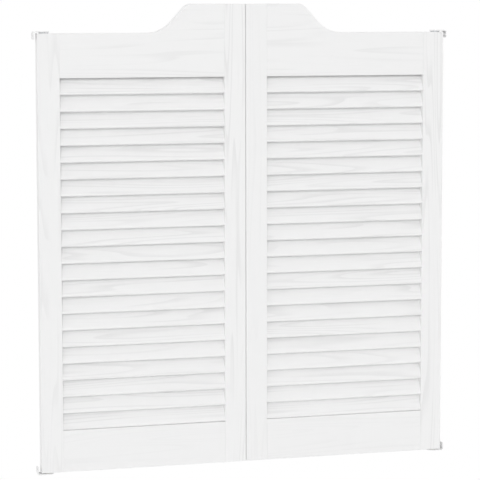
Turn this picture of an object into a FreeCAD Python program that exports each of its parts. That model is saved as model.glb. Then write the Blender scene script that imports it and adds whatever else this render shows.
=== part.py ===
"""A pair of louvred cafe doors that swing both ways on sprung pivots.

Units are millimetres. X runs across the doorway, the front of the leaves faces -Y and +Z is up.
The origin is below the middle of the closed pair, level with the underside of the bottom brackets.
Every shape is first made for the left-hand leaf, in its own coordinates: u runs from the outer
edge of the leaf towards the middle of the doorway, y through its thickness and z up. The function
across() turns u into X for either leaf, so the right-hand leaf is a true mirror of the left.
"""

import FreeCAD
import Part

import math
import os

from FreeCAD import Vector

# The pair
MEETING_GAP = 0.7
SIDE_GAP = 9.0
LEAF_WIDTH = 482.15
LEAF_THICKNESS = 28.6

# The frame of a leaf
TALL_HEIGHT = 1067.0
LOW_HEIGHT = 1001.0
STILE_WIDTH = 50.2
BOTTOM_RAIL_HEIGHT = 96.0
MEETING_CHAMFER = 1.5

# The scoop of the top rail: a cove, a straight ramp and a rounded nose
RAISED_FLAT = 124.5
SCOOP_ANGLE = math.radians(48.0)
COVE_RADIUS = 76.2
NOSE_RADIUS = 25.4

# The louvre: 1 7/8 in slats of 1/4 in stock. The arcs that their edge facets follow stop
# 1/32 in inside both faces of the leaf
SLAT_COUNT = 21
SLAT_PITCH = 38.3
SLAT_WIDTH = 47.6
SLAT_THICKNESS = 6.35
SLAT_SETBACK = 0.8
SLAT_EDGE_FACETS = 3
SLOT_DEPTH = 8.0
SLAT_END_CLEARANCE = 0.5
SLAT_SEAT_GAP = 0.25
PLOUGH_DEPTH = 5.0

# The tenons at the ends of the rails, glued into mortises in the stiles
TENON_LENGTH = 20.0
TENON_THICKNESS = 9.5
TENON_SHOULDER = 18.0
TENON_END_CLEARANCE = 1.0

# The brackets, each with a plate on the jamb in the side gap and an arm past the leaf's end
BRACKET_THICKNESS = 2.5
BRACKET_WIDTH = 24.0
BRACKET_HEIGHT = 18.0
BEND_INNER_RADIUS = 2.0
PLATE_CORNER = 4.0
SCREW_HOLE_RADIUS = 2.5
SCREW_HEAD_RADIUS = 4.3
SCREW_SPACING = 13.0
SCREW_TO_PLATE_END = 8.0

# The pivots: headless pins with a driver slot, screwed through the arms from outside
PIVOT_INSET = 17.0
PIN_RADIUS = 4.0
PIN_SEAT_CLEARANCE = 0.05
PIN_RUNNING_CLEARANCE = 0.05
PIN_END_CHAMFER = 1.0
PIN_SLOT_WIDTH = 1.2
PIN_SLOT_DEPTH = 1.5
BOTTOM_PIN_IN_LEAF = 50.0
TOP_PIN_IN_LEAF = 22.0
WASHER_THICKNESS = 2.0
WASHER_RADIUS = 10.0
TOP_ARM_GAP = 2.0

# The sprung socket at the foot of the outer stile
CASE_RADIUS = 9.5
CASE_WALL = 1.5
CASE_LENGTH = 55.0
CASE_BEARING_LENGTH = 9.0
CASE_FLANGE_RADIUS = 12.0
CASE_FLANGE_THICKNESS = 2.0
SPRING_COIL_RADIUS = 6.3
SPRING_WIRE = 1.8
SPRING_COILS = 7
SPRING_COIL_PITCH = 4.8
SPRING_FACETS_PER_COIL = 10

# The bush at the head of the outer stile
BUSH_RADIUS = 6.5
BUSH_LENGTH = 26.0
BUSH_FLANGE_RADIUS = 11.0
BUSH_FLANGE_THICKNESS = 1.5
INSERT_CLEARANCE = 0.1

# Sizes that follow from the ones above
LEAF_FOOT = BRACKET_THICKNESS + WASHER_THICKNESS
OPENING_WIDTH = LEAF_WIDTH - 2 * STILE_WIDTH
OPENING_FOOT = LEAF_FOOT + BOTTOM_RAIL_HEIGHT
OPENING_HEAD = OPENING_FOOT + SLAT_COUNT * SLAT_PITCH
LOW_TOP = LEAF_FOOT + LOW_HEIGHT
TALL_TOP = LEAF_FOOT + TALL_HEIGHT
FRONT = -LEAF_THICKNESS / 2
BACK = LEAF_THICKNESS / 2
TOP_ARM_FOOT = LOW_TOP + TOP_ARM_GAP
OUTER_EDGE = LEAF_WIDTH + MEETING_GAP / 2
SLAT_RADIUS = SLAT_THICKNESS / 2
SLAT_REACH = LEAF_THICKNESS / 2 - SLAT_SETBACK - SLAT_RADIUS
SLAT_TILT = math.asin(2 * SLAT_REACH / (SLAT_WIDTH - SLAT_THICKNESS))
SLAT_RISE = (SLAT_WIDTH - SLAT_THICKNESS) * math.cos(SLAT_TILT)
SLAT_LENGTH = OPENING_WIDTH + 2 * (SLOT_DEPTH - SLAT_END_CLEARANCE)

LEFT = -1
RIGHT = 1
SIDES = {"left": LEFT, "right": RIGHT}


def across(side, u):
    """X of a point that lies u inside the outer edge of the leaf on this side."""
    return side * (OUTER_EDGE - u)


def block(side, u_from, u_to, y_from, y_to, z_from, z_to):
    """A rectangular block between two distances from the leaf's outer edge."""
    x_low = min(across(side, u_from), across(side, u_to))
    return Part.makeBox(
        u_to - u_from, y_to - y_from, z_to - z_from, Vector(x_low, y_from, z_from)
    )


def turned(side, outline):
    """A solid turned about the leaf's pivot axis from an outline of (radius, z) points."""
    points = [Vector(radius, 0, z) for radius, z in outline]
    face = Part.Face(Part.makePolygon(points + points[:1]))
    solid = face.revolve(Vector(0, 0, 0), Vector(0, 0, 1), 360)
    solid.translate(Vector(across(side, PIVOT_INSET), 0, 0))
    return solid


def rounded_end(centre, along, outward):
    """Points round one edge of a slat, from its outward face to its inward face."""
    points = []
    for step in range(SLAT_EDGE_FACETS + 1):
        angle = math.pi * step / SLAT_EDGE_FACETS
        points.append(
            centre
            + outward * (SLAT_RADIUS * math.cos(angle))
            + along * (SLAT_RADIUS * math.sin(angle))
        )
    return points


def slat_section(x, z_foot):
    """The round-edged section of a slat whose lowest point is at z_foot, as a face across X."""
    low = Vector(x, -SLAT_REACH, z_foot + SLAT_RADIUS)
    high = Vector(x, SLAT_REACH, z_foot + SLAT_RADIUS + SLAT_RISE)
    along = (high - low).normalize()
    outward = Vector(0, -along.z, along.y)
    points = rounded_end(high, along, outward) + rounded_end(low, -along, -outward)
    return Part.Face(Part.makePolygon(points + points[:1]))


def slat_foot(number):
    """Height of the lowest point of a slat; slat 1 is at the top."""
    return OPENING_HEAD - number * SLAT_PITCH + SLAT_SEAT_GAP


def slat(side, number):
    """One louvre slat, long enough to seat in the slots of both stiles."""
    end = STILE_WIDTH - SLOT_DEPTH + SLAT_END_CLEARANCE
    x_low = min(across(side, end), across(side, end + SLAT_LENGTH))
    section = slat_section(x_low, slat_foot(number))
    return section.extrude(Vector(SLAT_LENGTH, 0, 0))


def slat_slots(side, u_from):
    """The routed slots that take the slat ends in one stile, starting at u_from."""
    x_low = min(across(side, u_from), across(side, u_from + SLOT_DEPTH))
    slots = []
    for number in range(1, SLAT_COUNT + 1):
        section = slat_section(x_low, slat_foot(number))
        slots.append(section.extrude(Vector(SLOT_DEPTH, 0, 0)))
    return slots


def tenons(side, z_from, z_to, tall_to, end_clearance):
    """The tenons at both ends of a rail, or their mortises when the end clearance is nil.

    z_to and tall_to are the rail's top at its outer and inner end, z_from its underside.
    """
    reach = TENON_LENGTH - end_clearance
    ends = [
        (STILE_WIDTH - reach, STILE_WIDTH, z_to),
        (LEAF_WIDTH - STILE_WIDTH, LEAF_WIDTH - STILE_WIDTH + reach, tall_to),
    ]
    half = TENON_THICKNESS / 2
    return [
        block(
            side, u_from, u_to, -half, half, z_from + TENON_SHOULDER, top - TENON_SHOULDER
        )
        for u_from, u_to, top in ends
    ]


def rail_tenons(side, end_clearance):
    """The tenons of both rails, outer end first: bottom rail, then top rail."""
    bottom = tenons(side, LEAF_FOOT, OPENING_FOOT, OPENING_FOOT, end_clearance)
    top = tenons(side, OPENING_HEAD, LOW_TOP, TALL_TOP, end_clearance)
    return bottom, top


def mortises(side, end):
    """The two mortises of a stile; end is 0 for the outer stile and 1 for the inner one."""
    bottom, top = rail_tenons(side, 0.0)
    return [bottom[end], top[end]]


def outer_stile(side):
    """The hanging stile, bored at both ends for the pivots and slotted for the slats."""
    body = block(side, 0, STILE_WIDTH, FRONT, BACK, LEAF_FOOT, LOW_TOP)
    case_bore = CASE_RADIUS + INSERT_CLEARANCE
    case_top = LEAF_FOOT + CASE_LENGTH + INSERT_CLEARANCE
    flange_bore = CASE_FLANGE_RADIUS + INSERT_CLEARANCE
    flange_top = LEAF_FOOT + CASE_FLANGE_THICKNESS
    bush_bore = BUSH_RADIUS + INSERT_CLEARANCE
    bush_foot = LOW_TOP - BUSH_LENGTH - INSERT_CLEARANCE
    seats = [
        turned(
            side,
            [
                (0, LEAF_FOOT),
                (flange_bore, LEAF_FOOT),
                (flange_bore, flange_top),
                (case_bore, flange_top),
                (case_bore, case_top),
                (0, case_top),
            ],
        ),
        turned(
            side,
            [(0, bush_foot), (bush_bore, bush_foot), (bush_bore, LOW_TOP), (0, LOW_TOP)],
        ),
    ]
    slots = slat_slots(side, STILE_WIDTH - SLOT_DEPTH)
    return body.cut(seats + slots + mortises(side, 0))


def meeting_edges(stile, side):
    """The two long edges of a meeting stile that face the other leaf."""
    return [
        edge
        for edge in stile.Edges
        if abs(edge.CenterOfMass.x - across(side, LEAF_WIDTH)) < 0.01
        and abs(edge.BoundBox.ZLength - TALL_HEIGHT) < 0.01
    ]


def inner_stile(side):
    """The taller meeting stile, chamfered where the leaves pass and slotted for the slats."""
    body = block(
        side, LEAF_WIDTH - STILE_WIDTH, LEAF_WIDTH, FRONT, BACK, LEAF_FOOT, TALL_TOP
    )
    body = body.makeChamfer(MEETING_CHAMFER, meeting_edges(body, side))
    slots = slat_slots(side, LEAF_WIDTH - STILE_WIDTH)
    return body.cut(slots + mortises(side, 1))


def arc_points(centre_u, centre_z, radius, start, end):
    """Start, middle and end of an arc, as (u, z), between two angles from straight down."""
    middle = (start + end) / 2
    return [
        (centre_u + radius * math.sin(angle), centre_z - radius * math.cos(angle))
        for angle in (start, middle, end)
    ]


def scoop_curve():
    """The three stretches of the scoop, as (u, z) points: the cove, the ramp and the nose.

    The nose ends level with the raised flat. The ramp takes up whatever rise the cove and the
    nose leave, and the cove starts where that brings it on the low edge.
    """
    bend = 1 - math.cos(SCOOP_ANGLE)
    ramp_rise = TALL_TOP - LOW_TOP - (COVE_RADIUS + NOSE_RADIUS) * bend
    ramp_run = ramp_rise / math.tan(SCOOP_ANGLE)
    nose_u = LEAF_WIDTH - RAISED_FLAT
    cove_u = nose_u - ramp_run - (COVE_RADIUS + NOSE_RADIUS) * math.sin(SCOOP_ANGLE)
    cove = arc_points(cove_u, LOW_TOP + COVE_RADIUS, COVE_RADIUS, 0.0, SCOOP_ANGLE)
    nose = arc_points(
        nose_u, TALL_TOP - NOSE_RADIUS, NOSE_RADIUS, math.pi + SCOOP_ANGLE, math.pi
    )
    return cove, [cove[-1], nose[0]], nose


def top_rail(side):
    """The scooped rail, with a plough along its lower back edge for the first slat."""
    cove, ramp, nose = scoop_curve()
    u_low, u_high = STILE_WIDTH, LEAF_WIDTH - STILE_WIDTH
    before = [nose[-1], (u_high, TALL_TOP), (u_high, OPENING_HEAD)]
    after = [(u_low, OPENING_HEAD), (u_low, LOW_TOP), cove[0]]

    def corner(point):
        return Vector(across(side, point[0]), FRONT, point[1])

    edges = [Part.makePolygon([corner(p) for p in before + after])]
    edges.append(Part.Arc(*[corner(p) for p in cove]).toShape())
    edges.append(Part.makeLine(*[corner(p) for p in ramp]))
    edges.append(Part.Arc(*[corner(p) for p in nose]).toShape())
    body = Part.Face(Part.Wire(edges)).extrude(Vector(0, LEAF_THICKNESS, 0))
    plough_front = SLAT_REACH - SLAT_THICKNESS
    plough = block(
        side, u_low, u_high, plough_front, BACK, OPENING_HEAD, OPENING_HEAD + PLOUGH_DEPTH
    )
    top_tenons = rail_tenons(side, TENON_END_CLEARANCE)[1]
    return body.cut(plough).fuse(top_tenons)


def bottom_rail(side):
    """The plain rail at the foot of the leaf."""
    body = block(
        side, STILE_WIDTH, LEAF_WIDTH - STILE_WIDTH, FRONT, BACK, LEAF_FOOT, OPENING_FOOT
    )
    bottom_tenons = rail_tenons(side, TENON_END_CLEARANCE)[0]
    return body.fuse(bottom_tenons)


def spring_case(side):
    """The flanged steel tube let into the foot of the outer stile, with its bearing."""
    bore = PIN_RADIUS + PIN_RUNNING_CLEARANCE
    flange_top = LEAF_FOOT + CASE_FLANGE_THICKNESS
    bearing_top = LEAF_FOOT + CASE_BEARING_LENGTH
    case_top = LEAF_FOOT + CASE_LENGTH
    return turned(
        side,
        [
            (bore, LEAF_FOOT),
            (CASE_FLANGE_RADIUS, LEAF_FOOT),
            (CASE_FLANGE_RADIUS, flange_top),
            (CASE_RADIUS, flange_top),
            (CASE_RADIUS, case_top),
            (CASE_RADIUS - CASE_WALL, case_top),
            (CASE_RADIUS - CASE_WALL, bearing_top),
            (bore, bearing_top),
        ],
    )


def top_bush(side):
    """The flanged steel bush in the head of the outer stile."""
    bore = PIN_RADIUS + PIN_RUNNING_CLEARANCE
    foot = LOW_TOP - BUSH_LENGTH
    flange_top = LOW_TOP + BUSH_FLANGE_THICKNESS
    return turned(
        side,
        [
            (bore, foot),
            (BUSH_RADIUS, foot),
            (BUSH_RADIUS, LOW_TOP),
            (BUSH_FLANGE_RADIUS, LOW_TOP),
            (BUSH_FLANGE_RADIUS, flange_top),
            (bore, flange_top),
        ],
    )


def spring_wire_section(step):
    """The four corners of the spring's square wire after a number of facets."""
    turn = step / SPRING_FACETS_PER_COIL
    half = SPRING_WIRE / 2
    middle = LEAF_FOOT + CASE_BEARING_LENGTH + half + turn * SPRING_COIL_PITCH
    across_wire = [(-half, -half), (half, -half), (half, half), (-half, half)]
    angle = 2 * math.pi * turn
    return [
        Vector(
            (SPRING_COIL_RADIUS + r) * math.cos(angle),
            (SPRING_COIL_RADIUS + r) * math.sin(angle),
            middle + z,
        )
        for r, z in across_wire
    ]


def closing_spring(side):
    """The torsion spring round the bottom pin, in short facets, without its two end tangs."""
    steps = SPRING_COILS * SPRING_FACETS_PER_COIL
    sections = [spring_wire_section(step) for step in range(steps + 1)]
    outlines = [sections[0], sections[-1][::-1]]
    for near, far in zip(sections, sections[1:]):
        for corner in range(4):
            beside = (corner + 1) % 4
            outlines.append([near[corner], far[corner], far[beside]])
            outlines.append([near[corner], far[beside], near[beside]])
    faces = [Part.Face(Part.makePolygon(points + points[:1])) for points in outlines]
    spring = Part.makeSolid(Part.makeShell(faces))
    spring.translate(Vector(across(side, PIVOT_INSET), 0, 0))
    return spring


def bracket(side, at_top):
    """An L bracket: its arm passes the end of the leaf and its plate lies in the side gap."""
    z_from, z_to = bracket_reach(at_top)
    arm_from, arm_to = arm_reach(at_top)
    jamb = -SIDE_GAP
    half = BRACKET_WIDTH / 2
    plate = block(side, jamb, jamb + BRACKET_THICKNESS, -half, half, z_from, z_to)
    plate = plate.makeChamfer(PLATE_CORNER, plate_corners(plate, z_from if at_top else z_to))
    arm = block(side, jamb, PIVOT_INSET, -half, half, arm_from, arm_to)
    tip = turned(side, [(0, arm_from), (half, arm_from), (half, arm_to), (0, arm_to)])
    angle = plate.fuse([arm, tip]).removeSplitter()
    return bend(angle, side, at_top).cut(bracket_holes(side, at_top))


def arm_reach(at_top):
    """Lower and upper height of a bracket's arm."""
    foot = TOP_ARM_FOOT if at_top else 0.0
    return foot, foot + BRACKET_THICKNESS


def bracket_reach(at_top):
    """Lower and upper height of a whole bracket; the plate always runs towards the leaf."""
    arm_from, arm_to = arm_reach(at_top)
    if at_top:
        return arm_to - BRACKET_HEIGHT, arm_to
    return arm_from, arm_from + BRACKET_HEIGHT


def plate_corners(plate, end_z):
    """The two corner edges at the free end of a plate."""
    return [
        edge
        for edge in plate.Edges
        if abs(edge.CenterOfMass.z - end_z) < 0.01
        and abs(edge.BoundBox.XLength - BRACKET_THICKNESS) < 0.01
    ]


def bend(angle, side, at_top):
    """Rounds the inside and the outside of the corner between a bracket's plate and arm."""
    arm_from, arm_to = arm_reach(at_top)
    inner_z, outer_z = (arm_from, arm_to) if at_top else (arm_to, arm_from)
    corners = {
        BEND_INNER_RADIUS: (BRACKET_THICKNESS - SIDE_GAP, inner_z),
        BEND_INNER_RADIUS + BRACKET_THICKNESS: (-SIDE_GAP, outer_z),
    }
    for radius, (u, z) in corners.items():
        middle = Vector(across(side, u), 0, z)
        edges = [e for e in angle.Edges if (e.CenterOfMass - middle).Length < 0.01]
        angle = angle.makeFillet(radius, edges)
    return angle


def bracket_screw_height(at_top):
    """Height of the two screw holes, which lie side by side in a bracket's plate."""
    z_from, z_to = bracket_reach(at_top)
    if at_top:
        return z_from + SCREW_TO_PLATE_END
    return z_to - SCREW_TO_PLATE_END


def bracket_holes(side, at_top):
    """The countersunk screw holes in the plate and the pin's hole in the arm."""
    sink = SCREW_HEAD_RADIUS - SCREW_HOLE_RADIUS
    face_x = across(side, BRACKET_THICKNESS - SIDE_GAP)
    outward = Vector(side, 0, 0)
    holes = [pin_blank(side, PIN_SEAT_CLEARANCE, *arm_reach(at_top))]
    for y in (-SCREW_SPACING / 2, SCREW_SPACING / 2):
        start = Vector(face_x, y, bracket_screw_height(at_top))
        holes.append(
            Part.makeCylinder(SCREW_HOLE_RADIUS, BRACKET_THICKNESS, start, outward)
        )
        holes.append(
            Part.makeCone(SCREW_HEAD_RADIUS, SCREW_HOLE_RADIUS, sink, start, outward)
        )
    return holes


def pin_blank(side, growth, z_from, z_to):
    """A round bar on the pivot axis, wider than a pin by growth all round."""
    foot = Vector(across(side, PIVOT_INSET), 0, z_from)
    return Part.makeCylinder(PIN_RADIUS + growth, z_to - z_from, foot)


def pivot_pin(side, at_top):
    """A pin from the outer face of a bracket's arm into the end of the outer stile."""
    arm_from, arm_to = arm_reach(at_top)
    if at_top:
        head, tip, inward = arm_to, LOW_TOP - TOP_PIN_IN_LEAF, -1
    else:
        head, tip, inward = arm_from, LEAF_FOOT + BOTTOM_PIN_IN_LEAF, 1
    outline = [
        (0, head),
        (PIN_RADIUS, head),
        (PIN_RADIUS, tip - inward * PIN_END_CHAMFER),
        (PIN_RADIUS - PIN_END_CHAMFER, tip),
        (0, tip),
    ]
    slot_end = head + inward * PIN_SLOT_DEPTH
    slot = block(
        side,
        PIVOT_INSET - PIN_SLOT_WIDTH / 2,
        PIVOT_INSET + PIN_SLOT_WIDTH / 2,
        -PIN_RADIUS,
        PIN_RADIUS,
        min(head, slot_end),
        max(head, slot_end),
    )
    return turned(side, outline).cut(slot)


def thrust_washer(side):
    """The nylon washer between the bottom arm and the leaf, which carries the leaf."""
    hole = PIN_RADIUS + PIN_RUNNING_CLEARANCE
    return turned(
        side,
        [
            (hole, BRACKET_THICKNESS),
            (WASHER_RADIUS, BRACKET_THICKNESS),
            (WASHER_RADIUS, LEAF_FOOT),
            (hole, LEAF_FOOT),
        ],
    )


def leaf_parts(name, side):
    """Every node of one leaf, by name; the two sockets of its pivots share a node."""
    sockets = [spring_case(side), top_bush(side)]
    parts = {
        f"{name}_outer_stile": outer_stile(side),
        f"{name}_inner_stile": inner_stile(side),
        f"{name}_top_rail": top_rail(side),
        f"{name}_bottom_rail": bottom_rail(side),
        f"{name}_pivot_sockets": Part.makeCompound(sockets),
        f"{name}_closing_spring": closing_spring(side),
    }
    for number in range(1, SLAT_COUNT + 1):
        parts[f"{name}_slat_{number:02d}"] = slat(side, number)
    return parts


def jamb_parts():
    """The hardware that stays on the jambs: each node holds one solid or more per side."""
    both = SIDES.values()
    pins = [pivot_pin(side, at_top) for side in both for at_top in (False, True)]
    return {
        "bottom_brackets": Part.makeCompound([bracket(side, False) for side in both]),
        "top_brackets": Part.makeCompound([bracket(side, True) for side in both]),
        "pivot_pins": Part.makeCompound(pins),
        "thrust_washers": Part.makeCompound([thrust_washer(side) for side in both]),
    }


def main():
    """Builds every part and writes one STEP file for each."""
    os.makedirs("parts", exist_ok=True)
    parts = jamb_parts()
    for name, side in SIDES.items():
        parts.update(leaf_parts(name, side))
    for name, shape in parts.items():
        shape.exportStep(f"parts/{name}.step")


main()
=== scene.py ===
"""Finish, light and camera for a pair of louvred cafe doors on sprung pivots.

Lengths are in metres, or in millimetres where a name ends in mm, and angles are in radians. The
frame is that of the CAD model: X runs across the doorway, the front of the leaves faces -Y and
+Z is up. The leaves hang closed, clear of the floor.
"""

import logging
import math
from dataclasses import dataclass
from enum import Enum

import bpy
from mathutils import Matrix, Vector


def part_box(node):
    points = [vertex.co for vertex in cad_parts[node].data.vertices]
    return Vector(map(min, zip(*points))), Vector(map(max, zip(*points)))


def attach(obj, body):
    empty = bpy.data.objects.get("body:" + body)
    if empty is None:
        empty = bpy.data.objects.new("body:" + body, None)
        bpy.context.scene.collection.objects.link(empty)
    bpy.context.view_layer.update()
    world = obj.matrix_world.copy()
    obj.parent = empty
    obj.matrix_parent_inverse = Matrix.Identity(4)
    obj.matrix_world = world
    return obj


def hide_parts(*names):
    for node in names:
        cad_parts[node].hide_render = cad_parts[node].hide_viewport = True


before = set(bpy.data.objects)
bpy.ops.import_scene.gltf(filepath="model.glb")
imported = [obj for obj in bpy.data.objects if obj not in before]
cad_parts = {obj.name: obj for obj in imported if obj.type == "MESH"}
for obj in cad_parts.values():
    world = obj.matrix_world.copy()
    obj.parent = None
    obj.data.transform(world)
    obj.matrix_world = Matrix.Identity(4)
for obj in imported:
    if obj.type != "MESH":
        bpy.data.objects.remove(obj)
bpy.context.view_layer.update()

LOG = logging.getLogger("cafe_doors")
MM = 0.001
WHITE = (1.0, 1.0, 1.0, 1.0)
# The width of the picture in pixels, and of the camera's sensor in millimetres.
FRAME_PIXELS = 480
SENSOR_WIDTH_MM = 36.0


class Grain(Enum):
    """The way a board's fibres run, as an axis of the CAD frame."""

    ALONG = 0
    UPRIGHT = 2


class Cut(Enum):
    """How a board was sawn, and how much of its figure then shows under the paint."""

    PLAIN_SAWN = 1.05
    RIFT_SAWN = 0.65
    QUARTER_SAWN = 0.3


class Leaf(Enum):
    """The two leaves, by the side of the doorway that they hang on."""

    LEFT = "left"
    RIGHT = "right"


def linear(colour: str) -> tuple[float, float, float, float]:
    """Turns an sRGB hex colour into Blender's linear one.

    Args:
        colour: Six hex digits after a hash sign.

    Returns:
        Red, green, blue and an alpha of 1.
    """
    channels = [int(colour[i : i + 2], 16) / 255 for i in (1, 3, 5)]
    bright = [c / 12.92 if c <= 0.04045 else ((c + 0.055) / 1.055) ** 2.4 for c in channels]
    return (*bright, 1.0)


def add_node(
    tree: bpy.types.NodeTree,
    kind: str,
    settings: dict[str, object] | None = None,
    inputs: dict[str | int, object] | None = None,
) -> bpy.types.Node:
    """Adds a node to a tree with its settings and its links.

    Args:
        tree: The node tree that the node goes into.
        kind: The node's type, as bpy names it.
        settings: Values for the node's own properties, by name.
        inputs: For each input, by name or number, a value or the output linked to it.

    Returns:
        The new node.
    """
    node = tree.nodes.new(kind)
    for name, value in (settings or {}).items():
        setattr(node, name, value)
    for socket, value in (inputs or {}).items():
        if isinstance(value, bpy.types.NodeSocket):
            tree.links.new(value, node.inputs[socket])
        else:
            node.inputs[socket].default_value = value
    return node


def new_tree(name: str) -> tuple[bpy.types.Material, bpy.types.NodeTree]:
    """Makes a material with an empty node tree.

    Args:
        name: The material's name.

    Returns:
        The material and its tree.
    """
    material = bpy.data.materials.new(name)
    material.use_nodes = True
    material.node_tree.nodes.clear()
    return material, material.node_tree


def clouds(
    tree: bpy.types.NodeTree,
    size_mm: float,
    detail: float,
    stretch: tuple[float, float, float] = (1.0, 1.0, 1.0),
) -> bpy.types.NodeSocket:
    """Soft clouds, from 0 to 1, which the patterns of a finish are made from.

    Args:
        tree: The material's node tree.
        size_mm: The size of a cloud.
        detail: How many finer layers are laid over the first.
        stretch: How many times larger than that a cloud is along each axis.

    Returns:
        The clouds' output.
    """
    where = add_node(tree, "ShaderNodeTexCoord").outputs["Object"]
    shrunk = [1 / times for times in stretch]
    mapping = add_node(tree, "ShaderNodeMapping", {}, {"Vector": where, "Scale": shrunk})
    # The scale of a noise is how many clouds go into a metre.
    noise = add_node(
        tree,
        "ShaderNodeTexNoise",
        {},
        {"Vector": mapping.outputs[0], "Scale": 1 / (size_mm * MM), "Detail": detail},
    )
    return noise.outputs["Fac"]


def layered(
    tree: bpy.types.NodeTree,
    layers: list[tuple[bpy.types.NodeSocket, float]],
    ground: float = 0.0,
) -> bpy.types.NodeSocket:
    """Lays patterns over one another.

    Args:
        tree: The material's node tree.
        layers: The output of each pattern, and how much that pattern counts for.
        ground: The value that they are laid on.

    Returns:
        The output of the sum.
    """
    total = ground
    for pattern, weight in layers:
        total = add_node(
            tree,
            "ShaderNodeMath",
            {"operation": "MULTIPLY_ADD"},
            {0: pattern, 1: weight, 2: total},
        ).outputs[0]
    return total


def connect_surface(
    tree: bpy.types.NodeTree,
    shade: bpy.types.NodeSocket,
    colours: tuple[str, str],
    roughness: float | bpy.types.NodeSocket,
    relief: list[tuple[bpy.types.NodeSocket, float]],
    constants: dict[str, float],
) -> None:
    """Joins a finish's colour, roughness and relief into the surface of its material.

    Args:
        tree: The material's node tree.
        shade: The output that takes the colour from the first, at 0, to the second, at 1.
        colours: The two colours in hex.
        roughness: The roughness, or the output that gives it.
        relief: The output of each pattern that stands proud, and its height in millimetres.
        constants: What is the same all over, by the name of the shader's input.
    """
    first, second = colours
    # Inputs 6 and 7 and output 2 are the ones for colours.
    colour = add_node(
        tree,
        "ShaderNodeMix",
        {"data_type": "RGBA"},
        {"Factor": shade, 6: linear(first), 7: linear(second)},
    )
    bump = add_node(
        tree, "ShaderNodeBump", {}, {"Height": layered(tree, relief), "Distance": MM}
    )
    shader = add_node(
        tree,
        "ShaderNodeBsdfPrincipled",
        {},
        {
            "Base Color": colour.outputs[2],
            "Roughness": roughness,
            "Normal": bump.outputs["Normal"],
            **constants,
        },
    )
    add_node(tree, "ShaderNodeOutputMaterial", {}, {"Surface": shader.outputs["BSDF"]})


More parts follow.
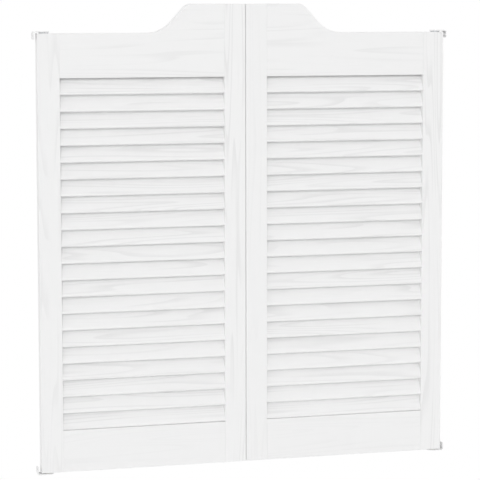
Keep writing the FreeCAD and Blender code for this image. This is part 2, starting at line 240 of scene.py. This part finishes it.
@dataclass(frozen=True)
class PaintedPine:
    """Clear pine boards, planed, sanded and sprayed with white satin enamel.

    The enamel levels out nearly flat, so the eye gets an even soft white. The harder late wood
    of each ring still stands a little proud under it and reads as faint lines along the board.
    """

    grain: Grain
    cut: Cut
    enamel: str = "#F2F2F2"
    enamel_over_late_wood: str = "#E7E7E7"
    roughness: float = 0.42
    roughness_spread: float = 0.06
    ior: float = 1.5
    # Real rings are 2 to 3 mm apart on the face. They are drawn wider, so that they show.
    ring_spacing_mm: float = 6.0
    # The rings bend away over about this length across the grain, and over this many times as
    # much along it.
    ring_wander_mm: float = 50.0
    ring_stretch: float = 20.0
    ring_relief_mm: float = 0.03
    # Shares of a ring's width: where its late wood starts to rise, where it is full and where
    # it starts to fall, which it has done by the end of the ring.
    late_wood_from: float = 0.5
    late_wood_full: float = 0.9
    late_wood_falls: float = 0.93
    # The paint hides the rings in patches about this wide: altogether where the patches'
    # clouds are below the first level, and not at all above the second.
    patch_mm: float = 34.0
    patch_stretch: float = 8.0
    patch_hides_below: float = 0.33
    patch_clear_above: float = 0.6
    # Real fibre streaks are near 0.3 mm wide. They are drawn wider, so that they show.
    streak_width_mm: float = 1.6
    streak_stretch: float = 45.0
    streak_relief_mm: float = 0.012
    spray_cell_mm: float = 1.8
    spray_relief_mm: float = 0.006
    # How much the rings and the streaks each darken a board whose figure shows in full, and
    # the mean of the two together, to which the colour of a quieter board closes up.
    ring_share: float = 0.75
    streak_share: float = 0.5
    mean_figure: float = 0.33

    def fibres(
        self, tree: bpy.types.NodeTree, size_mm: float, stretch: float, detail: float
    ) -> bpy.types.NodeSocket:
        """Soft clouds, from 0 to 1, drawn out along the grain.

        Args:
            tree: The material's node tree.
            size_mm: The width of a cloud.
            stretch: How many times longer than wide it is.
            detail: How many finer layers are laid over the first.

        Returns:
            The clouds' output.
        """
        along_grain = tuple(stretch if axis == self.grain.value else 1.0 for axis in range(3))
        return clouds(tree, size_mm, detail, along_grain)

    def rings(self, tree: bpy.types.NodeTree) -> bpy.types.NodeSocket:
        """The late wood of the growth rings: 0 between the lines and 1 on them.

        The rings are the height lines of soft clouds, so that they run, fork and close as the
        rings of a plain-sawn board do.

        Args:
            tree: The material's node tree.

        Returns:
            The rings' output.
        """
        height = self.fibres(tree, self.ring_wander_mm, self.ring_stretch, detail=1.0)
        # The clouds rise by about this much from one to the next.
        cloud_rise = 0.6
        count = self.ring_wander_mm / (cloud_rise * self.ring_spacing_mm)
        passed = add_node(
            tree, "ShaderNodeMath", {"operation": "MULTIPLY"}, {0: height, 1: count}
        )
        place = add_node(
            tree, "ShaderNodeMath", {"operation": "FRACT"}, {0: passed.outputs[0]}
        ).outputs[0]
        patches = self.fibres(tree, self.patch_mm, self.patch_stretch, detail=1.0)
        # Each of these goes from 0 up to the one before it, so that they multiply.
        line = 1.0
        for value, none_at, full_at in (
            (patches, self.patch_hides_below, self.patch_clear_above),
            (place, 1.0, self.late_wood_falls),
            (place, self.late_wood_from, self.late_wood_full),
        ):
            line = add_node(
                tree,
                "ShaderNodeMapRange",
                {"interpolation_type": "SMOOTHSTEP"},
                {"Value": value, "From Min": none_at, "From Max": full_at, "To Max": line},
            ).outputs["Result"]
        return line

    def material(self) -> bpy.types.Material:
        """Makes the material.

        Returns:
            The material.
        """
        name = f"painted_pine_{self.grain.name}_{self.cut.name}".lower()
        material, tree = new_tree(name)
        rings = self.rings(tree)
        streaks = self.fibres(tree, self.streak_width_mm, self.streak_stretch, detail=2.0)
        spray = clouds(tree, self.spray_cell_mm, detail=2.0)
        shown = self.cut.value
        figure = layered(
            tree,
            [(rings, self.ring_share * shown), (streaks, self.streak_share * shown)],
            ground=self.mean_figure * (1 - shown),
        )
        roughness = add_node(
            tree,
            "ShaderNodeMapRange",
            {},
            {
                "Value": spray,
                "To Min": self.roughness - self.roughness_spread,
                "To Max": self.roughness + self.roughness_spread,
            },
        )
        connect_surface(
            tree,
            shade=figure,
            colours=(self.enamel, self.enamel_over_late_wood),
            roughness=roughness.outputs["Result"],
            relief=[
                (rings, self.ring_relief_mm * shown),
                (streaks, self.streak_relief_mm * shown),
                (spray, self.spray_relief_mm),
            ],
            constants={"IOR": self.ior},
        )
        return material


@dataclass(frozen=True)
class PowderCoat:
    """Steel strip under white powder coat, baked on.

    The powder melts into a skin with shallow orange peel, which breaks up its soft sheen. The
    hollows of the peel are painted a little darker, as painted shade.
    """

    coat: str = "#EFEFEF"
    # The coat's colour a little darker, for the painted shade in the hollows of the peel.
    coat_painted_shade_in_hollows: str = "#EAEAEA"
    roughness: float = 0.45
    ior: float = 1.5
    peel_cell_mm: float = 1.4
    peel_relief_mm: float = 0.012

    def material(self) -> bpy.types.Material:
        """Makes the material.

        Returns:
            The material.
        """
        material, tree = new_tree("powder_coated_steel")
        peel = clouds(tree, self.peel_cell_mm, detail=1.0)
        # The colour goes darker where the peel is low: painted shade in its hollows, over the
        # bump's own shading.
        connect_surface(
            tree,
            shade=peel,
            colours=(self.coat_painted_shade_in_hollows, self.coat),
            roughness=self.roughness,
            relief=[(peel, self.peel_relief_mm)],
            constants={"IOR": self.ior},
        )
        return material


@dataclass(frozen=True)
class TurnedStock:
    """Round stock turned in a lathe: fine rings round the pivot axis catch the light.

    The rings run round the axis on the sides and lie one inside the other on the ends. Under
    them the surface is a little brighter and smoother in some places than in others.
    """

    name: str
    dull: str
    bright: str
    metallic: float
    roughness: float
    # How far the pivot axis of each leaf is from the middle of the doorway.
    axis_from_middle: float
    roughness_spread: float = 0.08
    bright_place_mm: float = 3.0
    # Real tool marks are near 0.1 mm apart. They are drawn wider, so that they show close up.
    mark_spacing_mm: float = 0.4
    mark_relief_mm: float = 0.004

    def marks(self, tree: bpy.types.NodeTree) -> bpy.types.NodeSocket:
        """The tool marks: a wave of the distance from the pivot axis plus the height.

        Args:
            tree: The material's node tree.

        Returns:
            The output of the wave, from -1 to 1.
        """
        where = add_node(tree, "ShaderNodeTexCoord").outputs["Object"]
        split = add_node(tree, "ShaderNodeSeparateXYZ", {}, {"Vector": where})
        either_side = add_node(
            tree, "ShaderNodeMath", {"operation": "ABSOLUTE"}, {0: split.outputs["X"]}
        )
        from_axis = add_node(
            tree,
            "ShaderNodeMath",
            {"operation": "SUBTRACT"},
            {0: either_side.outputs[0], 1: self.axis_from_middle},
        )
        across = add_node(
            tree,
            "ShaderNodeCombineXYZ",
            {},
            {"X": from_axis.outputs[0], "Y": split.outputs["Y"]},
        )
        radius = add_node(
            tree, "ShaderNodeVectorMath", {"operation": "LENGTH"}, {0: across.outputs[0]}
        )
        path = add_node(
            tree,
            "ShaderNodeMath",
            {"operation": "ADD"},
            {0: radius.outputs["Value"], 1: split.outputs["Z"]},
        )
        phase = add_node(
            tree,
            "ShaderNodeMath",
            {"operation": "MULTIPLY"},
            {0: path.outputs[0], 1: 2 * math.pi / (self.mark_spacing_mm * MM)},
        )
        wave = add_node(tree, "ShaderNodeMath", {"operation": "SINE"}, {0: phase.outputs[0]})
        return wave.outputs[0]

    def material(self) -> bpy.types.Material:
        """Makes the material.

        Returns:
            The material.
        """
        material, tree = new_tree(self.name)
        places = clouds(tree, self.bright_place_mm, detail=3.0)
        roughness = add_node(
            tree,
            "ShaderNodeMapRange",
            {},
            {
                "Value": places,
                "To Min": self.roughness + self.roughness_spread,
                "To Max": self.roughness - self.roughness_spread,
            },
        )
        # The wave goes from -1 to 1, so it stands for half of the relief each way.
        connect_surface(
            tree,
            shade=places,
            colours=(self.dull, self.bright),
            roughness=roughness.outputs["Result"],
            relief=[(self.marks(tree), self.mark_relief_mm / 2)],
            constants={"Metallic": self.metallic},
        )
        return material


@dataclass(frozen=True)
class OiledWire:
    """Hard-drawn spring wire, darkened when it was stress-relieved, and wiped with oil.

    The eye gets one bright line along the round of the wire, which dulls and widens wherever
    the film of oil is thin.
    """

    oiled: str = "#5A5C61"
    nearly_dry: str = "#797C80"
    roughness: float = 0.22
    roughness_nearly_dry: float = 0.4
    film_cell_mm: float = 2.4
    film_relief_mm: float = 0.004

    def material(self) -> bpy.types.Material:
        """Makes the material.

        Returns:
            The material.
        """
        material, tree = new_tree("oiled_spring_wire")
        film = clouds(tree, self.film_cell_mm, detail=3.0)
        roughness = add_node(
            tree,
            "ShaderNodeMapRange",
            {},
            {"Value": film, "To Min": self.roughness, "To Max": self.roughness_nearly_dry},
        )
        connect_surface(
            tree,
            shade=film,
            colours=(self.oiled, self.nearly_dry),
            roughness=roughness.outputs["Result"],
            relief=[(film, self.film_relief_mm)],
            constants={"Metallic": 1.0},
        )
        return material


@dataclass(frozen=True)
class Arris:
    """How an edge is eased: the radius of its round and how finely that is cut."""

    radius_mm: float
    steps: int = 2
    turn_limit: float = math.radians(25)
    # Points this near each other are one point, and faces this near in angle are one face.
    same_point: float = 1e-6
    same_face: float = math.radians(0.5)
    # How far the large faces rule the shading of the rounds between them, out of 100.
    large_face_weight: int = 100

    def ease(self, node: bpy.types.Object) -> None:
        """Eases every edge of a CAD node that turns more than the limit, by modifiers.

        Args:
            node: The CAD node, whose own mesh stays as it is.
        """
        weld = node.modifiers.new("weld", "WELD")
        weld.merge_threshold = self.same_point
        flat = node.modifiers.new("merge_flat_faces", "DECIMATE")
        flat.decimate_type = "DISSOLVE"
        flat.angle_limit = self.same_face
        round_off = node.modifiers.new("arris", "BEVEL")
        round_off.width = self.radius_mm * MM
        round_off.segments = self.steps
        round_off.limit_method = "ANGLE"
        round_off.angle_limit = self.turn_limit
        # The flat face round a slot or a hole is cut into several. The first of these settings
        # would narrow the round to fit the smallest of them, and the second would slide its
        # corners along the cuts between them, so both are off.
        round_off.use_clamp_overlap = False
        round_off.loop_slide = False
        normals = node.modifiers.new("soft_shading", "WEIGHTED_NORMAL")
        normals.weight = self.large_face_weight


def dress(name: str, arris: Arris, material: bpy.types.Material) -> None:
    """Eases the edges of a CAD node and gives it its finish.

    Args:
        name: The node's name.
        arris: How its edges are eased.
        material: The finish, which goes into every material slot that the node has.
    """
    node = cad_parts[name]
    arris.ease(node)
    for place in node.material_slots:
        place.material = material
    LOG.info("dressed %s in %s", name, material.name)


@dataclass
class ClosingSpring:
    """The torsion spring round the bottom pin: round wire wound where the CAD spring is."""

    side: Leaf
    wire: bpy.types.Material
    # The thickness and the turns of the CAD spring's wire.
    wire_mm: float = 1.8
    coils: int = 7
    steps_per_coil: int = 48
    wire_sides: int = 14

    def ring(self, centre: Vector, coil_radius: float, turn: float, rise: float) -> list[Vector]:
        """The points round the wire after a number of turns.

        Args:
            centre: The middle of the wire's first turn, on the pivot axis.
            coil_radius: From the pivot axis to the middle of the wire.
            turn: How many turns the wire has made.
            rise: How far the wire climbs in one turn.

        Returns:
            One point for each side of the wire.
        """
        angle = 2 * math.pi * turn
        outward = Vector((math.cos(angle), math.sin(angle), 0.0))
        slope = rise / (2 * math.pi * coil_radius)
        onward = Vector((-math.sin(angle), math.cos(angle), slope)).normalized()
        upward = outward.cross(onward)
        middle = centre + outward * coil_radius + Vector((0.0, 0.0, rise * turn))
        wire_radius = self.wire_mm * MM / 2
        points = []
        for corner in range(self.wire_sides):
            about = 2 * math.pi * corner / self.wire_sides
            offset = outward * math.cos(about) + upward * math.sin(about)
            points.append(middle + offset * wire_radius)
        return points

    def faces(self, steps: int) -> list[list[int]]:
        """The faces of the wire: a flat one at each end and four-sided ones between them.

        Args:
            steps: How many rings of points follow the first.

        Returns:
            For each face, the numbers of its points.
        """
        sides = self.wire_sides
        first_end = list(range(sides))
        last_end = list(range(steps * sides, (steps + 1) * sides))
        faces = [first_end, last_end[::-1]]
        for step in range(steps):
            near = step * sides
            far = near + sides
            for corner in range(sides):
                beside = (corner + 1) % sides
                faces.append([near + beside, near + corner, far + corner, far + beside])
        return faces

    def build(self) -> None:
        """Winds the wire, which takes the place of the plainer CAD spring."""
        node = f"{self.side.value}_closing_spring"
        low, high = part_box(node)
        wire_width = self.wire_mm * MM
        centre = Vector(((low.x + high.x) / 2, 0.0, low.z + wire_width / 2))
        coil_radius = (high.x - low.x - wire_width) / 2
        rise = (high.z - low.z - wire_width) / self.coils
        steps = self.coils * self.steps_per_coil
        points = []
        for step in range(steps + 1):
            points += self.ring(centre, coil_radius, step / self.steps_per_coil, rise)
        mesh = bpy.data.meshes.new(f"{node}_wire")
        mesh.from_pydata(points, [], self.faces(steps))
        # Only the two ends, which have a corner for each side of the wire, stay flat.
        for face in mesh.polygons:
            face.use_smooth = len(face.vertices) < self.wire_sides
        mesh.materials.append(self.wire)
        piece = bpy.data.objects.new(f"{node}_wire", mesh)
        bpy.context.scene.collection.objects.link(piece)
        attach(piece, f"{self.side.value}_leaf")
        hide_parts(node)
        LOG.info("wound %s from %s", piece.name, self.wire.name)


@dataclass
class LouvredLeaf:
    """One leaf: two stiles, two rails, the slats between them and its pivot fittings."""

    side: Leaf
    outer_stile: Cut
    inner_stile: Cut
    paint: dict[tuple[Grain, Cut], bpy.types.Material]
    steel: bpy.types.Material
    top_rail: Cut = Cut.RIFT_SAWN
    bottom_rail: Cut = Cut.QUARTER_SAWN
    slats: Cut = Cut.PLAIN_SAWN
    slat_count: int = 21
    board_arris: Arris = Arris(radius_mm=0.5)
    slat_arris: Arris = Arris(radius_mm=1.3, steps=3)
    fitting_arris: Arris = Arris(radius_mm=0.25, steps=1)

    def build(self) -> None:
        """Dresses the leaf."""
        side = self.side.value
        for part, grain, cut in (
            ("outer_stile", Grain.UPRIGHT, self.outer_stile),
            ("inner_stile", Grain.UPRIGHT, self.inner_stile),
            ("top_rail", Grain.ALONG, self.top_rail),
            ("bottom_rail", Grain.ALONG, self.bottom_rail),
        ):
            dress(f"{side}_{part}", self.board_arris, self.paint[grain, cut])
        slat_paint = self.paint[Grain.ALONG, self.slats]
        for number in range(1, self.slat_count + 1):
            dress(f"{side}_slat_{number:02d}", self.slat_arris, slat_paint)
        dress(f"{side}_pivot_sockets", self.fitting_arris, self.steel)


@dataclass
class JambHardware:
    """What stays on the jambs: four brackets, four pivot pins and two thrust washers."""

    coat: bpy.types.Material
    steel: bpy.types.Material
    nylon: bpy.types.Material
    bracket_arris: Arris = Arris(radius_mm=0.3)
    turned_arris: Arris = Arris(radius_mm=0.2, steps=1)

    def build(self) -> None:
        """Dresses the brackets, the pins and the washers."""
        dress("bottom_brackets", self.bracket_arris, self.coat)
        dress("top_brackets", self.bracket_arris, self.coat)
        dress("pivot_pins", self.turned_arris, self.steel)
        dress("thrust_washers", self.turned_arris, self.nylon)


@dataclass
class Viewpoint:
    """The camera: to the left of the doors, level with their top, turned to face them."""

    eye: Vector
    turn_right: float
    tilt_down: float
    roll: float
    # How many pixels one metre takes up, one metre in front of the camera.
    focal_pixels: float
    # How far up the picture is shifted, as a share of its width.
    shift_up: float
    clip_end: float = 100.0

    def build(self) -> None:
        """Makes the camera and gives it to the scene."""
        data = bpy.data.cameras.new("viewpoint")
        data.sensor_width = SENSOR_WIDTH_MM
        data.lens = self.focal_pixels * SENSOR_WIDTH_MM / FRAME_PIXELS
        data.shift_y = self.shift_up
        data.clip_end = self.clip_end
        camera = bpy.data.objects.new("viewpoint", data)
        bpy.context.scene.collection.objects.link(camera)
        aim = (
            Matrix.Rotation(-self.turn_right, 4, "Z")
            @ Matrix.Rotation(math.pi / 2 - self.tilt_down, 4, "X")
            @ Matrix.Rotation(-self.roll, 4, "Z")
        )
        camera.matrix_world = Matrix.Translation(self.eye) @ aim
        bpy.context.scene.camera = camera
        LOG.info("set up the camera")


@dataclass
class Studio:
    """A white room with a brighter wall on the left, one broad soft lamp and a pale floor."""

    # The light of the room on its right half, and how much more its left wall gives.
    ambient: float = 0.662
    left_wall: float = 0.42
    # The lamp, in watts on a square metre that faces it.
    key_strength: float = 0.92
    key_from_left: float = math.radians(14)
    key_height: float = math.radians(17)
    key_spread: float = math.radians(16)
    # The lamp shines the same from any distance. This one only keeps it clear of the doors.
    key_distance: float = 4.0
    floor_drop: float = 0.35
    floor_radius: float = 14.0
    floor_steps: int = 96
    floor_colour: str = "#F7F7F7"
    # To the eye the floor is this share white as far as the first distance from the middle of
    # the doorway, and all white from the second on.
    floor_lift: float = 0.55
    clear_floor: float = 0.55
    white_floor: float = 1.25

    def build(self) -> None:
        """Makes the sky, the lamp and the floor."""
        self.sky()
        self.key()
        self.floor()
        LOG.info("lit the studio")

    def seen(self, tree: bpy.types.NodeTree) -> bpy.types.NodeSocket:
        """Picks out the rays that the eye follows: straight, by mirror or through glass.

        Args:
            tree: The node tree of the material or the world.

        Returns:
            The output that is 1 for those rays and 0 for the rest.
        """
        path = add_node(tree, "ShaderNodeLightPath")
        followed = path.outputs["Is Camera Ray"]
        for other in ("Is Glossy Ray", "Is Transmission Ray"):
            followed = add_node(
                tree,
                "ShaderNodeMath",
                {"operation": "MAXIMUM"},
                {0: followed, 1: path.outputs[other]},
            ).outputs[0]
        return followed

    def sky(self) -> None:
        """Makes the room: white wherever it is seen, and dimmer where it only lights."""
        world = bpy.data.worlds.new("white_room")
        world.use_nodes = True
        bpy.context.scene.world = world
        tree = world.node_tree
        tree.nodes.clear()
        where = add_node(tree, "ShaderNodeTexCoord").outputs["Generated"]
        split = add_node(tree, "ShaderNodeSeparateXYZ", {}, {"Vector": where})
        strength = add_node(
            tree,
            "ShaderNodeMapRange",
            {},
            {
                "Value": split.outputs["X"],
                "From Min": 0.0,
                "From Max": -1.0,
                "To Min": self.ambient,
                "To Max": self.ambient + self.left_wall,
            },
        )
        lighting = add_node(
            tree,
            "ShaderNodeBackground",
            {},
            {"Color": WHITE, "Strength": strength.outputs["Result"]},
        )
        backdrop = add_node(
            tree, "ShaderNodeBackground", {}, {"Color": WHITE, "Strength": 1.0}
        )
        choice = add_node(
            tree,
            "ShaderNodeMixShader",
            {},
            {0: self.seen(tree), 1: lighting.outputs[0], 2: backdrop.outputs[0]},
        )
        add_node(tree, "ShaderNodeOutputWorld", {}, {"Surface": choice.outputs[0]})

    def key(self) -> None:
        """Hangs the broad lamp, in front, to the left and above."""
        data = bpy.data.lights.new("key", "SUN")
        data.energy = self.key_strength
        data.angle = self.key_spread
        lamp = bpy.data.objects.new("key", data)
        bpy.context.scene.collection.objects.link(lamp)
        towards = Vector(
            (
                -math.sin(self.key_from_left) * math.cos(self.key_height),
                -math.cos(self.key_from_left) * math.cos(self.key_height),
                math.sin(self.key_height),
            )
        )
        lamp.rotation_mode = "QUATERNION"
        lamp.rotation_quaternion = towards.to_track_quat("Z", "Y")
        lamp.location = towards * self.key_distance

    def floor(self) -> None:
        """Lays a round pale floor below the doors, which fades into the white further off."""
        rim = []
        for step in range(self.floor_steps):
            angle = 2 * math.pi * step / self.floor_steps
            x = self.floor_radius * math.cos(angle)
            y = self.floor_radius * math.sin(angle)
            rim.append((x, y, -self.floor_drop))
        mesh = bpy.data.meshes.new("studio_floor")
        mesh.from_pydata(rim, [], [list(range(self.floor_steps))])
        mesh.materials.append(self.floor_material())
        floor = bpy.data.objects.new("studio_floor", mesh)
        bpy.context.scene.collection.objects.link(floor)

    def floor_material(self) -> bpy.types.Material:
        """Makes the floor's matt white paper, which keeps the shadow of the doors near them.

        Returns:
            The material.
        """
        material, tree = new_tree("matt_paper_floor")
        paper = add_node(
            tree,
            "ShaderNodeBsdfDiffuse",
            {},
            {"Color": linear(self.floor_colour), "Roughness": 1.0},
        )
        white = add_node(tree, "ShaderNodeEmission", {}, {"Color": WHITE, "Strength": 1.0})
        where = add_node(tree, "ShaderNodeTexCoord").outputs["Object"]
        away = add_node(tree, "ShaderNodeVectorMath", {"operation": "LENGTH"}, {0: where})
        fade = add_node(
            tree,
            "ShaderNodeMapRange",
            {"interpolation_type": "SMOOTHSTEP"},
            {
                "Value": away.outputs["Value"],
                "From Min": self.clear_floor,
                "From Max": self.white_floor,
                "To Min": self.floor_lift,
                "To Max": 1.0,
            },
        )
        share = add_node(
            tree,
            "ShaderNodeMath",
            {"operation": "MULTIPLY"},
            {0: fade.outputs["Result"], 1: self.seen(tree)},
        )
        surface = add_node(
            tree,
            "ShaderNodeMixShader",
            {},
            {0: share.outputs[0], 1: paper.outputs[0], 2: white.outputs[0]},
        )
        add_node(tree, "ShaderNodeOutputMaterial", {}, {"Surface": surface.outputs[0]})
        return material


def main() -> None:
    """Builds the finishes, the doors, the studio and the camera, in that order."""
    logging.basicConfig(level=logging.INFO, format="%(name)s: %(message)s")
    bpy.context.scene.view_settings.view_transform = "Standard"
    paint = {
        (grain, cut): PaintedPine(grain, cut).material() for grain in Grain for cut in Cut
    }
    low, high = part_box("left_pivot_sockets")
    axis_from_middle = abs(low.x + high.x) / 2
    # Zinc plate over turned steel is pale grey, with soft reflections.
    zinc = TurnedStock(
        name="zinc_plated_steel",
        dull="#B4B8BC",
        bright="#CDD0D3",
        metallic=1.0,
        roughness=0.32,
        axis_from_middle=axis_from_middle,
    ).material()
    wire = OiledWire().material()
    # Nylon is a warm, waxy off-white.
    nylon = TurnedStock(
        name="turned_nylon",
        dull="#E4E2D8",
        bright="#ECEAE2",
        metallic=0.0,
        roughness=0.45,
        axis_from_middle=axis_from_middle,
    ).material()
    coat = PowderCoat().material()
    LouvredLeaf(
        side=Leaf.LEFT,
        outer_stile=Cut.RIFT_SAWN,
        inner_stile=Cut.PLAIN_SAWN,
        paint=paint,
        steel=zinc,
    ).build()
    LouvredLeaf(
        side=Leaf.RIGHT,
        outer_stile=Cut.PLAIN_SAWN,
        inner_stile=Cut.QUARTER_SAWN,
        paint=paint,
        steel=zinc,
    ).build()
    for side in Leaf:
        ClosingSpring(side, wire).build()
    JambHardware(coat, zinc, nylon).build()
    Studio().build()
    Viewpoint(
        eye=Vector((-1.118, -4.248, 1.047)),
        turn_right=math.radians(14.61),
        tilt_down=math.radians(5.34),
        roll=math.radians(0.10),
        focal_pixels=1900.0,
        shift_up=-0.10,
    ).build()


if __name__ == "__main__":
    main()
